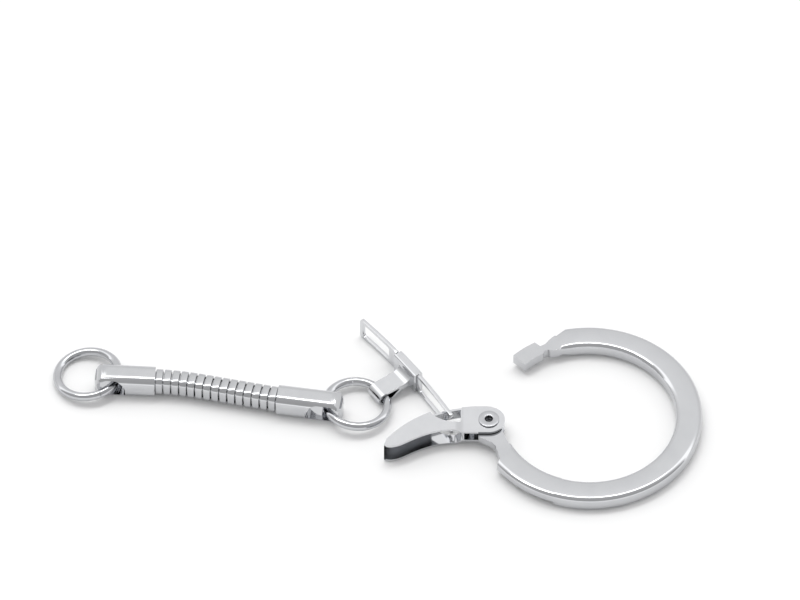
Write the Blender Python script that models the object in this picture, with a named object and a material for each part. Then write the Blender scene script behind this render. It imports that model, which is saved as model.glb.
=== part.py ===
"""Key ring with a lever clasp, a snake chain and two jump rings, lying open on a flat surface.

All sizes are in millimetres, measured from the clasp's rivet, and become metres in finish().
X runs along the chain towards the ring, Y across it, Z up. The clasp is modelled open.
"""

import math

import bmesh
import bpy
from mathutils import Matrix, Vector

MM = 0.001
SHIFT = Vector((13.934, -1.635, 0.0))  # from the rivet to the middle of the whole object's box

# Split ring: a C of flat band round CENTRE.
CENTRE = (12.55, 1.45)
BAND_OUT, BAND_IN = 14.15, 10.85
BAND_TOP = 2.15
BAND_ROUND = 0.65
TONGUE_Z = (1.07, 2.15)  # the thin end between the lever's two lobes
LEAF_ROOM_Z = 0.55  # underside of the band where the lever's lower leaf passes
TONGUE_R = 1.85
CATCH_ANGLE = 128.0  # middle of the catch block, seen from CENTRE
CATCH_LONG, CATCH_WIDE = 3.2, 2.1
CATCH_Z = 0.72  # underside of the catch and its neck

# Rivet
RIVET_BORE, RIVET_SHANK, RIVET_FLANGE = 0.5, 0.85, 1.3
RIVET_Z = (0.5, 2.8)
FLANGE_THICK = 0.18

# Lever: a folded channel, lobes at the rivet and a long curved grip.
SHEET = 0.3
LEVER_Z = (0.15, 3.15)
LEVER_MID = 1.65
PINCH = 0.57  # how far each leaf steps in towards the lobes
PINCH_X = (-4.3, -3.1)
LEVER_ARC_C = (-1.1, -12.6)  # the ring's centre, turned back with the lever
LEVER_ARC_R = 14.75
CLOSE_DEG = 102.3

# Gate: a flat link on edge, pivoted in the lever's web at GATE_PIVOT.
GATE_PIVOT = (-4.85, 0.45)
GATE_ROOT_DEG = 119.9
GATE_BEND = 0.6316  # degrees per millimetre
GATE_THICK = 0.45
GATE_Z = (0.0, 3.3)
GATE_TAIL, GATE_TIP = -0.55, 19.0
RAIL = 0.43
LOWER_SLOT = (0.3, 7.1)
PRONG_Z = (1.0, 2.3)  # the fork's tips turn in to here and hook behind the web
UPPER_SLOT = (13.3, 18.45)
WAIST = (7.3, 11.9)

# Connector clip on the gate
CLIP_S = (7.42, 11.78)
CLIP_HALF = 0.62
CLIP_WALL_Z = (0.02, 3.28)
TAB_S = (8.05, 10.55)
FOLD_AT = 4.3  # from the gate to the fold that holds the jump ring
FOLD_Z = 0.97
FOLD_ROOM = 0.64
FOLD_OUT = 0.95
WIRE_SAG = 0.33

# Jump rings
WIRE = 0.55
RING_R = 3.83
RING_A = (-16.55, 3.5)
RING_A_TILT = 4.9
RING_B = (-50.25, 8.6)
RING_B_TILT = 7.2

# End caps and chain
CAP_SIDE = 3.25
CAP_A_LONG, CAP_B_LONG = 8.4, 7.7
NOSE_ROUND = 1.3
CAP_A_END = (-26.4, 4.0)
CAP_A_DEG = -9.0
CAP_B_DEG = 176.5
CHAIN_DEG, CHAIN_BEND = 167.6, 1.6
PITCH = 1.042
CHAIN_Z = 1.63
LINKS = 15
LINK_SIDE = 2.75
LINK_LONG = 0.9
COLLAR_SIDE, SOCKET_SIDE, BORE_SIDE = 1.96, 2.26, 1.2
COLLAR_LONG, SOCKET_DEEP = 0.62, 0.62

for old in list(bpy.data.objects):
    bpy.data.objects.remove(old, do_unlink=True)


def turned(point, degrees, about=(0.0, 0.0)):
    """A plan point turned about another one."""
    t = math.radians(degrees)
    x, y = point[0] - about[0], point[1] - about[1]
    return (
        about[0] + x * math.cos(t) - y * math.sin(t),
        about[1] + x * math.sin(t) + y * math.cos(t),
    )


def on_circle(centre, radius, degrees):
    t = math.radians(degrees)
    return (centre[0] + radius * math.cos(t), centre[1] + radius * math.sin(t))


def arc(centre, radius, start, end, steps):
    return [on_circle(centre, radius, start + (end - start) * i / steps) for i in range(steps + 1)]


def prism(outline, z0, z1, name="prism"):
    """A closed solid: a plan outline, counter-clockwise, between two heights."""
    mesh = bpy.data.meshes.new(name)
    bm = bmesh.new()
    face = bm.faces.new([bm.verts.new((x, y, z0)) for x, y in outline])
    up = bmesh.ops.extrude_face_region(bm, geom=[face])["geom"]
    bmesh.ops.translate(
        bm, vec=(0, 0, z1 - z0), verts=[v for v in up if isinstance(v, bmesh.types.BMVert)]
    )
    bmesh.ops.recalc_face_normals(bm, faces=bm.faces)
    bm.to_mesh(mesh)
    bm.free()
    obj = bpy.data.objects.new(name, mesh)
    bpy.context.collection.objects.link(obj)
    return obj


def box(x0, x1, y0, y1, z0, z1, name="box"):
    return prism([(x0, y0), (x1, y0), (x1, y1), (x0, y1)], z0, z1, name)


def rounded_box(side_y, side_z, x0, x1, radius, steps, name="bar"):
    """A bar along X with a rounded rectangular section, centred on the X axis."""
    corners = []
    for cy, cz, start in (
        (side_y / 2 - radius, side_z / 2 - radius, 0),
        (-side_y / 2 + radius, side_z / 2 - radius, 90),
        (-side_y / 2 + radius, -side_z / 2 + radius, 180),
        (side_y / 2 - radius, -side_z / 2 + radius, 270),
    ):
        corners += arc((cy, cz), radius, start, start + 90, steps)
    obj = prism(corners, x0, x1, name)
    obj.data.transform(Matrix(((0, 0, 1, 0), (1, 0, 0, 0), (0, 1, 0, 0), (0, 0, 0, 1))))
    return obj


def combine(obj, other, operation):
    """Cuts, joins or intersects with another solid, which is then removed."""
    mod = obj.modifiers.new("step", "BOOLEAN")
    mod.operation = operation
    mod.solver = "EXACT"
    mod.object = other
    graph = bpy.context.evaluated_depsgraph_get()
    result = bpy.data.meshes.new_from_object(obj.evaluated_get(graph))
    obj.modifiers.clear()
    obj.data = result
    bpy.data.objects.remove(other, do_unlink=True)
    return obj


def soften(obj, width, segments, chosen):
    """Rounds the edges that the test picks."""
    bm = bmesh.new()
    bm.from_mesh(obj.data)
    bmesh.ops.remove_doubles(bm, verts=bm.verts, dist=1e-4)
    bmesh.ops.dissolve_limit(bm, angle_limit=0.002, verts=bm.verts, edges=bm.edges)
    edges = [e for e in bm.edges if len(e.link_faces) == 2 and chosen(e)]
    bmesh.ops.bevel(
        bm, geom=edges, offset=width, offset_type="OFFSET", segments=segments,
        profile=0.5, affect="EDGES", clamp_overlap=True, material=-1,
    )
    bm.to_mesh(obj.data)
    bm.free()
    return obj


def chrome(name, tone):
    mat = bpy.data.materials.new(name)
    mat.use_nodes = True
    shader = mat.node_tree.nodes["Principled BSDF"]
    shader.inputs["Base Color"].default_value = (tone, tone, tone * 1.01, 1)
    shader.inputs["Metallic"].default_value = 1.0
    shader.inputs["Roughness"].default_value = 0.12
    return mat


def finish(obj, name, origin=(0.0, 0.0, 0.0), tone=0.78):
    """Names a piece, puts its origin on its joint and turns millimetres into metres."""
    origin = Vector(origin)
    obj.name = obj.data.name = name
    obj.data.transform(Matrix.Scale(MM, 4) @ Matrix.Translation(-origin))
    obj.location = (origin + SHIFT) * MM
    obj.data.materials.clear()
    obj.data.materials.append(chrome(name + "_chrome", tone))
    for poly in obj.data.polygons:
        poly.use_smooth = True
    obj.data.set_sharp_from_angle(angle=math.radians(35))
    return obj


def gate_point(s, side=0.0, close=0.0):
    """A plan point at a distance s along the bent gate and beside it, open or closed by a share."""
    root = math.radians(GATE_ROOT_DEG)
    bend = math.radians(GATE_BEND)
    x = GATE_PIVOT[0] + (math.sin(root + bend * s) - math.sin(root)) / bend
    y = GATE_PIVOT[1] - (math.cos(root + bend * s) - math.cos(root)) / bend
    t = root + bend * s + math.pi / 2
    x, y = x + side * math.cos(t), y + side * math.sin(t)
    if close:
        x, y = turned((x, y), GATE_FOLLOW * close, GATE_PIVOT)
        x, y = turned((x, y), CLOSE_DEG * close)
    return (x, y)


GATE_FOLLOW = -156.7  # how far the gate turns in the lever while the lever closes


def swept_band(start, end, steps):
    """The band's rounded section, taken round the ring's centre between two angles."""
    half = BAND_ROUND
    r0, r1, z0, z1 = BAND_IN, BAND_OUT, 0.0, BAND_TOP
    section = []
    for cr, cz, first in (
        (r1 - half, z1 - half, 0), (r0 + half, z1 - half, 90),
        (r0 + half, z0 + half, 180), (r1 - half, z0 + half, 270),
    ):
        section += arc((cr, cz), half, first, first + 90, 4)
    mesh = bpy.data.meshes.new("split_ring_body")
    bm = bmesh.new()
    face = bm.faces.new([bm.verts.new((r, 0, z)) for r, z in section])
    bmesh.ops.rotate(bm, verts=bm.verts, matrix=Matrix.Rotation(math.radians(start), 3, "Z"))
    bmesh.ops.spin(
        bm, geom=[face], cent=(0, 0, 0), axis=(0, 0, 1), angle=math.radians(end - start),
        steps=steps, use_merge=False, use_duplicate=False,
    )
    bmesh.ops.translate(bm, verts=bm.verts, vec=(*CENTRE, 0))
    bmesh.ops.recalc_face_normals(bm, faces=bm.faces)
    bm.to_mesh(mesh)
    bm.free()
    obj = bpy.data.objects.new("split_ring_body", mesh)
    bpy.context.collection.objects.link(obj)
    return obj


def split_ring_body():
    half_block = math.degrees(CATCH_LONG / 2 / 12.2)
    end, neck = CATCH_ANGLE + half_block, CATCH_ANGLE - half_block
    out, inn = 12.2 + CATCH_WIDE / 2, 12.2 - CATCH_WIDE / 2
    obj = swept_band(-153.9, end, 70)
    # Outside of the catch: a long taper, a notch for the gate's end bar, then the block.
    outside = [
        on_circle(CENTRE, 14.3, neck - 21.0), on_circle(CENTRE, 13.75, neck - 15.0),
        on_circle(CENTRE, 13.1, neck - 10.5), on_circle(CENTRE, 12.5, neck - 6.0),
        on_circle(CENTRE, 12.4, neck - 0.9), on_circle(CENTRE, out, neck),
        on_circle(CENTRE, out, end + 1),
    ]
    outside = outside[::-1] + arc(CENTRE, 17.0, neck - 21.0, end + 1, 4)
    combine(obj, prism(outside[::-1], -1, 5), "DIFFERENCE")
    inside = [on_circle(CENTRE, inn, end + 1), on_circle(CENTRE, inn, neck)]
    inside += [on_circle(CENTRE, inn + 0.3, neck - 0.9), on_circle(CENTRE, inn + 0.3, neck - 4.0)]
    inside += [on_circle(CENTRE, 11.1, neck - 5.5), on_circle(CENTRE, 9.5, neck - 5.5)]
    inside += [on_circle(CENTRE, 9.5, end + 1)]
    combine(obj, prism(inside[::-1], -1, 5), "DIFFERENCE")
    # Underside of the catch, and room for the lever's lower leaf.
    a0, a1 = neck - 12.5, end + 4
    catch = arc(CENTRE, 16.5, a0, a1, 6) + arc(CENTRE, 9.0, a1, a0, 6)
    combine(obj, prism(catch, -1.0, CATCH_Z), "DIFFERENCE")
    leaf = arc(CENTRE, 17.0, 190, 251.5, 10) + arc(CENTRE, 9.0, 251.5, 190, 10)
    combine(obj, prism(leaf, -1.0, LEAF_ROOM_Z), "DIFFERENCE")
    # The pivot end is cut away outside, for the gate's tail.
    away = [(-3, -2.9), (0.35, -3.4), (1.1, -4.7), (1.35, -5.9), (0.95, -6.9), (0.0, -8.2), (-4, -8)]
    combine(obj, prism(away[::-1], -1, 5), "DIFFERENCE")
    # The thin tongue with its round lobe at the rivet.
    tongue = arc(CENTRE, 11.2, 210, 188.5, 6) + [(1.35, -0.25)]
    tongue += arc((0, 0), TONGUE_R, 12, 205, 16)
    tongue += [(-1.3, -2.35), (0.35, -3.3), (1.05, -4.6), (1.3, -5.8)]
    combine(obj, prism(tongue, *TONGUE_Z), "UNION")
    combine(obj, prism(arc((0, 0), RIVET_SHANK + 0.02, 0, 360, 32)[:-1], -1, 5), "DIFFERENCE")
    return obj


def pivot_rivet():
    z0, z1 = RIVET_Z
    profile = [
        (RIVET_BORE + 0.12, z0), (RIVET_FLANGE - 0.1, z0), (RIVET_FLANGE, z0 + 0.08),
        (RIVET_FLANGE, z0 + FLANGE_THICK), (RIVET_SHANK, z0 + FLANGE_THICK),
        (RIVET_SHANK, z1 - FLANGE_THICK), (RIVET_FLANGE, z1 - FLANGE_THICK),
        (RIVET_FLANGE, z1 - 0.08), (RIVET_FLANGE - 0.12, z1), (RIVET_BORE + 0.12, z1),
        (RIVET_BORE, z1 - 0.12), (RIVET_BORE, z0 + 0.12),
    ]
    mesh = bpy.data.meshes.new("pivot_rivet")
    bm = bmesh.new()
    ring = [bm.verts.new((r, 0, z)) for r, z in profile]
    edges = [bm.edges.new((ring[i], ring[(i + 1) % len(ring)])) for i in range(len(ring))]
    bmesh.ops.spin(
        bm, geom=edges, cent=(0, 0, 0), axis=(0, 0, 1), angle=2 * math.pi, steps=32,
        use_merge=True, use_duplicate=False,
    )
    bmesh.ops.remove_doubles(bm, verts=bm.verts, dist=1e-5)
    bmesh.ops.recalc_face_normals(bm, faces=bm.faces)
    bm.to_mesh(mesh)
    bm.free()
    obj = bpy.data.objects.new("pivot_rivet", mesh)
    bpy.context.collection.objects.link(obj)
    return obj


def clasp_lever():
    # Far edge: the folded web, an arc that lies on the ring's circle when closed.
    web = arc(LEVER_ARC_C, LEVER_ARC_R, 84.5, 142.5, 34)
    near = [
        (-13.1, -4.55), (-12.2, -4.75), (-10.9, -4.35), (-9.7, -3.65), (-8.4, -2.98),
        (-7.2, -2.5), (-5.9, -2.16), (-4.5, -2.0), (-3.0, -2.0), (-1.5, -2.02),
    ]
    lobe = arc((0, 0), 2.02, 268, 360 + 62, 16)
    outline = lobe + web + near
    obj = prism(outline, LEVER_Z[0], LEVER_Z[1], "clasp_lever")
    # Inside of the channel: everything nearer the centre than the web's inner face.
    inner = arc(LEVER_ARC_C, LEVER_ARC_R - SHEET, 40, 148, 60)
    inner += [(-16, -6.5), (-16, -14), (9.9, -14)]
    combine(obj, prism(inner, LEVER_Z[0] + SHEET, LEVER_Z[1] - SHEET), "DIFFERENCE")
    # The lobes have no web between them.
    combine(obj, prism([(-2.35, 4), (-2.35, -4), (4, -4), (4, 4)], LEVER_Z[0] + SHEET,
                       LEVER_Z[1] - SHEET), "DIFFERENCE")
    combine(obj, prism(arc((0, 0), RIVET_SHANK + 0.05, 0, 360, 32)[:-1], -1, 5), "DIFFERENCE")
    # Step the leaves in towards the lobes.
    bm = bmesh.new()
    bm.from_mesh(obj.data)
    for i in range(7):
        x = PINCH_X[0] + (PINCH_X[1] - PINCH_X[0]) * i / 6
        bmesh.ops.bisect_plane(
            bm, geom=bm.verts[:] + bm.edges[:] + bm.faces[:], plane_co=(x, 0, 0), plane_no=(1, 0, 0)
        )
    bmesh.ops.triangulate(bm, faces=bm.faces)
    for v in bm.verts:
        t = min(max((v.co.x - PINCH_X[0]) / (PINCH_X[1] - PINCH_X[0]), 0), 1)
        t = t * t * (3 - 2 * t)
        v.co.z -= math.copysign(PINCH, v.co.z - LEVER_MID) * t
    bm.to_mesh(obj.data)
    bm.free()
    # A pair of holes across the folds, where the gate's prongs hook in.
    hole = [
        (-3.35, 4.0), (-7.3, 4.0), (-7.3, 0.8), (-6.7, 0.1), (-5.95, -0.4), (-5.0, -0.72),
        (-4.1, -0.75), (-3.55, -0.5), (-3.35, 0.1),
    ]
    combine(obj, prism(hole, -1.0, 0.87), "DIFFERENCE")
    combine(obj, prism(hole, 2.43, 5.0), "DIFFERENCE")
    return obj


def bend_along_gate(obj):
    """Takes a piece made flat, with X along the gate and Y beside it, onto the gate's curve."""
    bm = bmesh.new()
    bm.from_mesh(obj.data)
    s = GATE_TAIL - 1
    while s < GATE_TIP + 1:
        bmesh.ops.bisect_plane(
            bm, geom=bm.verts[:] + bm.edges[:] + bm.faces[:], plane_co=(s, 0, 0), plane_no=(1, 0, 0)
        )
        s += 1.9
    bmesh.ops.triangulate(bm, faces=bm.faces)
    for v in bm.verts:
        v.co.x, v.co.y = gate_point(v.co.x, v.co.y)
    if bm.calc_volume(signed=True) < 0:
        bmesh.ops.reverse_faces(bm, faces=bm.faces)
    bm.to_mesh(obj.data)
    bm.free()
    return obj


def stadium(s0, s1, z0, z1, radius, steps=4):
    """A rounded rectangle in the plane of the gate: (along, up)."""
    pts = []
    for cs, cz, start in (
        (s1 - radius, z1 - radius, 0), (s0 + radius, z1 - radius, 90),
        (s0 + radius, z0 + radius, 180), (s1 - radius, z0 + radius, 270),
    ):
        pts += arc((cs, cz), radius, start, start + 90, steps)
    return pts


def upright(outline, y0, y1):
    """A prism whose outline stands in the XZ plane, between two values of Y."""
    obj = prism(outline, y0, y1)
    obj.data.transform(Matrix(((1, 0, 0, 0), (0, 0, 1, 0), (0, 1, 0, 0), (0, 0, 0, 1))))
    bm = bmesh.new()
    bm.from_mesh(obj.data)
    bmesh.ops.recalc_face_normals(bm, faces=bm.faces)
    bm.to_mesh(obj.data)
    bm.free()
    return obj


def gate_link():
    z0, z1 = GATE_Z
    half = GATE_THICK / 2
    obj = upright(stadium(GATE_TAIL, GATE_TIP, z0, z1, 0.4), -half, half)
    combine(obj, upright(stadium(*LOWER_SLOT, z0 + RAIL, z1 - RAIL, 0.3), -3, 3), "DIFFERENCE")
    fork = [(-3, PRONG_Z[0]), (1, PRONG_Z[0]), (1, PRONG_Z[1]), (-3, PRONG_Z[1])]
    combine(obj, upright(fork, -3, 3), "DIFFERENCE")
    tail = [(-3, z0 + RAIL), (-0.3, z0 + RAIL), (-0.3, z1 - RAIL), (-3, z1 - RAIL)]
    combine(obj, upright(tail, -3, 3), "DIFFERENCE")
    combine(obj, upright(stadium(*UPPER_SLOT, z0 + 0.52, z1 - 0.52, 0.35), -3, 3), "DIFFERENCE")
    for low, high in ((-1, 0.42), (2.88, 5)):
        combine(obj, upright([(WAIST[0], low), (WAIST[1], low), (WAIST[1], high), (WAIST[0], high)], -3, 3),
                "DIFFERENCE")
    return bend_along_gate(obj)


def connector_clip():
    # Sleeve round the gate's waist.
    z0, z1 = CLIP_WALL_Z
    obj = box(*CLIP_S, -CLIP_HALF, CLIP_HALF, z0, z1, "connector_clip")
    soften(obj, 0.22, 2, lambda e: abs(e.verts[0].co.x - e.verts[1].co.x) > 1)
    # Tab: a leaf out from the sleeve, round the wire and back under itself.
    out = FOLD_AT + WIRE_SAG
    top, low = FOLD_Z + FOLD_OUT, FOLD_Z - FOLD_OUT
    flare = arc((1.75, top + 1.2), 1.2, 180, 270, 6)
    outline = [(0.3, 3.2), (0.45, 3.2)] + flare
    outline += arc((out, FOLD_Z), FOLD_OUT, 90, -90, 12)
    outline += [(FOLD_AT - 0.3, low), (2.1, 1.1), (1.3, 1.15), (0.45, 0.6), (0.3, 0.6)]
    tab = upright(outline[::-1], TAB_S[0], TAB_S[1])
    tab.data.transform(Matrix(((0, 1, 0, 0), (1, 0, 0, 0), (0, 0, 1, 0), (0, 0, 0, 1))))
    bm = bmesh.new()
    bm.from_mesh(tab.data)
    bmesh.ops.recalc_face_normals(bm, faces=bm.faces)
    bm.to_mesh(tab.data)
    bm.free()
    combine(obj, tab, "UNION")
    room = arc((out, FOLD_Z), FOLD_ROOM, 90, -90, 10)
    room += arc((FOLD_AT - 0.1, FOLD_Z), FOLD_ROOM, -90, -125, 3) + [(2.45, 1.42), (2.45, 1.56)]
    room += arc((FOLD_AT - 0.1, FOLD_Z), FOLD_ROOM, 112, 90, 2)
    hole = upright(room, TAB_S[0] - 1, TAB_S[1] + 1)
    hole.data.transform(Matrix(((0, 1, 0, 0), (1, 0, 0, 0), (0, 0, 1, 0), (0, 0, 0, 1))))
    bm = bmesh.new()
    bm.from_mesh(hole.data)
    bmesh.ops.recalc_face_normals(bm, faces=bm.faces)
    bm.to_mesh(hole.data)
    bm.free()
    combine(obj, hole, "DIFFERENCE")
    combine(obj, box(CLIP_S[0] - 1, CLIP_S[1] + 1, -0.27, 0.27, 0.38, 2.92), "DIFFERENCE")
    return bend_along_gate(obj)


def torus(name, slit_deg):
    """A jump ring flat about the origin, with the fine gap where its wire was closed."""
    mesh = bpy.data.meshes.new(name)
    bm = bmesh.new()
    turn = math.radians(1.2)
    made = bmesh.ops.create_circle(bm, cap_ends=True, radius=WIRE, segments=12)
    spot = Matrix.Rotation(math.radians(slit_deg), 4, "Z") @ Matrix.Translation((RING_R, 0, 0))
    bmesh.ops.transform(bm, matrix=spot @ Matrix.Rotation(math.pi / 2, 4, "X"), verts=made["verts"])
    bmesh.ops.spin(
        bm, geom=bm.faces[:] + bm.edges[:] + bm.verts[:], cent=(0, 0, 0), axis=(0, 0, 1),
        angle=2 * math.pi - turn, steps=40, use_merge=False, use_duplicate=False,
    )
    bmesh.ops.recalc_face_normals(bm, faces=bm.faces)
    bm.to_mesh(mesh)
    bm.free()
    obj = bpy.data.objects.new(name, mesh)
    bpy.context.collection.objects.link(obj)
    return obj


def end_cap(name, end, degrees, long, collar):
    """A cap along +X from the chain's end, turned and moved into place; a collar or a socket."""
    side = CAP_SIDE
    obj = rounded_box(side, side, 0, long, 0.95, 4, name)
    # The nose curls down: cut to a rounded profile seen from the side.
    nose = [(-1, -3), (long - 0.9, -3), (long - 0.35, -side / 2 + 0.1), (long, -side / 2 + 0.6)]
    nose += arc((long - 1.7, side / 2 - 1.7), 1.7, 0, 90, 6)
    nose += [(-1, side / 2 + 0.001), (-1, -3)]
    combine(obj, upright(nose[:-1], -5, 5), "INTERSECT")
    plan = [(-1, -2), (long - NOSE_ROUND, -2), (long - NOSE_ROUND, -side / 2 - 0.001)]
    plan += arc((long - NOSE_ROUND, -side / 2 + NOSE_ROUND), NOSE_ROUND, -90, 0, 5)[1:]
    plan += arc((long - NOSE_ROUND, side / 2 - NOSE_ROUND), NOSE_ROUND, 0, 90, 5)[:-1]
    plan += [(long - NOSE_ROUND, side / 2 + 0.001), (long - NOSE_ROUND, 2), (-1, 2)]
    combine(obj, prism(plan, -3, 3), "INTERSECT")
    # Arch from side to side for the jump ring.
    a0, a1 = 3.7, long - 0.42
    arch = [(a0 + 0.2, -side / 2 + 0.4), (a1 - 0.3, -side / 2 + 0.4)]
    arch += arc((a1 - 1.05, side / 2 - 1.55), 1.05, 0, 90, 6)
    arch += [(a0 + 1.0, side / 2 - 0.5), (a0 + 0.35, side / 2 - 0.85), (a0, side / 2 - 1.5)]
    combine(obj, upright(arch, -5, 5), "DIFFERENCE")
    if collar:
        bar = rounded_box(COLLAR_SIDE, COLLAR_SIDE, -0.14 - 0.5, 0.3, 0.6, 3)
        combine(obj, bar, "UNION")
        combine(obj, rounded_box(BORE_SIDE, BORE_SIDE, -2, 2.6, 0.4, 2), "DIFFERENCE")
    else:
        combine(obj, rounded_box(SOCKET_SIDE, SOCKET_SIDE, -2, SOCKET_DEEP + 0.1, 0.65, 3), "DIFFERENCE")
        combine(obj, rounded_box(BORE_SIDE, BORE_SIDE, -2, 2.6, 0.4, 2), "DIFFERENCE")
    obj.data.transform(
        Matrix.Translation((end[0], end[1], CHAIN_Z)) @ Matrix.Rotation(math.radians(degrees), 4, "Z")
    )
    return obj


def chain_link(name, at, degrees):
    obj = rounded_box(LINK_SIDE, LINK_SIDE, 0, LINK_LONG, 0.85, 3, name)
    soften(obj, 0.13, 1, lambda e: abs(e.verts[0].co.x - e.verts[1].co.x) < 1e-4)
    combine(obj, rounded_box(COLLAR_SIDE, COLLAR_SIDE, 0.6, LINK_LONG + COLLAR_LONG, 0.6, 3), "UNION")
    combine(obj, rounded_box(SOCKET_SIDE, SOCKET_SIDE, -1, SOCKET_DEEP, 0.65, 3), "DIFFERENCE")
    combine(obj, rounded_box(BORE_SIDE, BORE_SIDE, -1, 3, 0.4, 2), "DIFFERENCE")
    obj.data.transform(
        Matrix.Translation((at[0], at[1], CHAIN_Z)) @ Matrix.Rotation(math.radians(degrees), 4, "Z")
    )
    return obj


finish(split_ring_body(), "split_ring_body", tone=0.8)
finish(pivot_rivet(), "pivot_rivet", tone=0.74)
finish(clasp_lever(), "clasp_lever", tone=0.79)
finish(gate_link(), "gate_link", (*GATE_PIVOT, 0), tone=0.77)
finish(connector_clip(), "connector_clip", (*GATE_PIVOT, 0), tone=0.76)

# Inner jump ring: through the clip's fold at one side, through the cap's arch at the other.
fold = gate_point(9.6, FOLD_AT)
toward = math.degrees(math.atan2(fold[1] - RING_A[1], fold[0] - RING_A[0]))
centre_a = on_circle(fold, RING_R, toward + 180)
axis_a = math.radians(toward + 90)
rise_a = Matrix.Rotation(math.radians(RING_A_TILT), 4, (math.cos(axis_a), math.sin(axis_a), 0))
ring_a = torus("jump_ring_inner", 100)
ring_a.data.transform(
    Matrix.Translation((*fold, FOLD_Z)) @ rise_a @ Matrix.Translation((*(Vector(centre_a) - Vector(fold)), 0))
)
finish(ring_a, "jump_ring_inner", (*fold, FOLD_Z), tone=0.75)
print("fold", fold, "toward", toward, "centre a", centre_a)

centre_a3 = Vector((*fold, FOLD_Z)) + rise_a @ Vector((*(Vector(centre_a) - Vector(fold)), 0))
print("centre a3", centre_a3)
finish(end_cap("end_cap_inner", CAP_A_END, CAP_A_DEG, CAP_A_LONG, True), "end_cap_inner", centre_a3, tone=0.78)

# The chain leaves the inner cap straight and bends a little at each of its last links.
at = Vector(CAP_A_END)
for i in range(LINKS):
    run_deg = CHAIN_DEG + CHAIN_BEND * max(0, i - 9)
    along = Vector((math.cos(math.radians(run_deg)), math.sin(math.radians(run_deg))))
    link = chain_link("chain_link", at + along * 0.07, run_deg)
    finish(link, f"chain_link_{i + 1:02d}", (at.x, at.y, CHAIN_Z), tone=0.73 + 0.02 * (i % 2))
    print("link", i + 1, round(at.x, 3), round(at.y, 3), round(run_deg, 2))
    at += along * PITCH
print("cap b end", at)

outer_cap = end_cap("end_cap_outer", at, CAP_B_DEG, CAP_B_LONG, False)
finish(outer_cap, "end_cap_outer", (at.x, at.y, CHAIN_Z), tone=0.78)

# Outer jump ring: lies tilted from the cap's arch down to the table.
cross_deg = -26.0
eye = on_circle(RING_B, RING_R, cross_deg)
axis_b = math.radians(cross_deg + 90)
rise_b = Matrix.Rotation(math.radians(-RING_B_TILT), 4, (math.cos(axis_b), math.sin(axis_b), 0))
ring_b = torus("jump_ring_outer", 60)
ring_b.data.transform(
    Matrix.Translation((*eye, 1.53)) @ rise_b @ Matrix.Translation((*(Vector(RING_B) - Vector(eye)), 0))
)
finish(ring_b, "jump_ring_outer", (*eye, 1.53), tone=0.75)
print("eye b", eye)

low = Vector((1e9, 1e9, 1e9))
high = -low
for obj in bpy.data.objects:
    for v in obj.data.vertices:
        p = obj.location + v.co
        low = Vector(map(min, low, p))
        high = Vector(map(max, high, p))
print("box mm", [round(c / MM, 3) for c in low], [round(c / MM, 3) for c in high])
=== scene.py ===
# %% [markdown]
# # A key ring with a lever clasp, a snake chain and two jump rings
#
# The clasp is a C of flat band, a folded lever on a hollow rivet and a slotted gate that
# drops over a catch. This lesson builds every visible piece again, finer than the working
# model it rides on, and plates it all in bright nickel. We start by loading that model,
# because it says where each piece sits and which body each piece moves with.

# %% Load the working model
import math

import bmesh
import bpy
from mathutils import Matrix, Vector


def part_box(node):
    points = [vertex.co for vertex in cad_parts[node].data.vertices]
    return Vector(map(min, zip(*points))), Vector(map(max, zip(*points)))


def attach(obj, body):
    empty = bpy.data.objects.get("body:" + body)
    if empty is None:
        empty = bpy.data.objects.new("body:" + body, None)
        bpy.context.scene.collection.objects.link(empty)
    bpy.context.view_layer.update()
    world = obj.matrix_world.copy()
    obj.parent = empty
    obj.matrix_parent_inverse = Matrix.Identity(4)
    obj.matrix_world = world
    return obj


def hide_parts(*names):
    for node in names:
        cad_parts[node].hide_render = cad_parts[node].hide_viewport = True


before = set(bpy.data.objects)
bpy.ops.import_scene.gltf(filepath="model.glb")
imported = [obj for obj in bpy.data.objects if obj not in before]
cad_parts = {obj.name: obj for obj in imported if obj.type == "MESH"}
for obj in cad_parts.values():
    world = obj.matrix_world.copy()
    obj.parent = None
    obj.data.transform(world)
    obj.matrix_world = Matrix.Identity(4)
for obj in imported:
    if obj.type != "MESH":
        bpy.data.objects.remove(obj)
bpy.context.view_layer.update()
low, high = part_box("pivot_rivet")
RIVET_SPOT = Vector(((low.x + high.x) / 2, (low.y + high.y) / 2, 0.0))
print("rivet at", [round(c * 1000, 2) for c in RIVET_SPOT], "mm;", len(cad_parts), "nodes")

# %% [markdown]
# ## Two helpers for points
#
# Everything on this clasp is laid out round its rivet, so all sizes below are millimetres
# from the rivet's axis: X towards the ring, Y across the chain, Z up. Most outlines are
# made of arcs, and one helper gives the points of an arc.

# %% Points on circles
MM = 0.001


def on_circle(centre, radius, degrees):
    """The plan point at an angle on a circle."""
    t = math.radians(degrees)
    return (centre[0] + radius * math.cos(t), centre[1] + radius * math.sin(t))


def arc(centre, radius, start, end, steps):
    """Plan points along an arc, both ends included."""
    return [on_circle(centre, radius, start + (end - start) * i / steps) for i in range(steps + 1)]


print("a quarter turn in 4 steps has", len(arc((0, 0), 1, 0, 90, 4)), "points")

# %% [markdown]
# ## Slabs, round edges and cuts
#
# Stamped sheet parts start as a flat outline. One face extruded upwards is that blank.
# Its edges are never sharp after plating, so they get a small bevel. A Boolean modifier
# does what a punch or a mill does: it takes one solid out of another.

# %% A blank: one face, extruded
def slab(outline, low, high):
    """A bmesh whose outline is one face in plan, extruded between two heights."""
    bm = bmesh.new()
    face = bm.faces.new([bm.verts.new((x, y, low)) for x, y in outline])
    grown = bmesh.ops.extrude_face_region(bm, geom=[face])["geom"]
    risen = [v for v in grown if isinstance(v, bmesh.types.BMVert)]
    bmesh.ops.translate(bm, vec=(0, 0, high - low), verts=risen)
    bmesh.ops.recalc_face_normals(bm, faces=bm.faces)
    return bm


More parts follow.
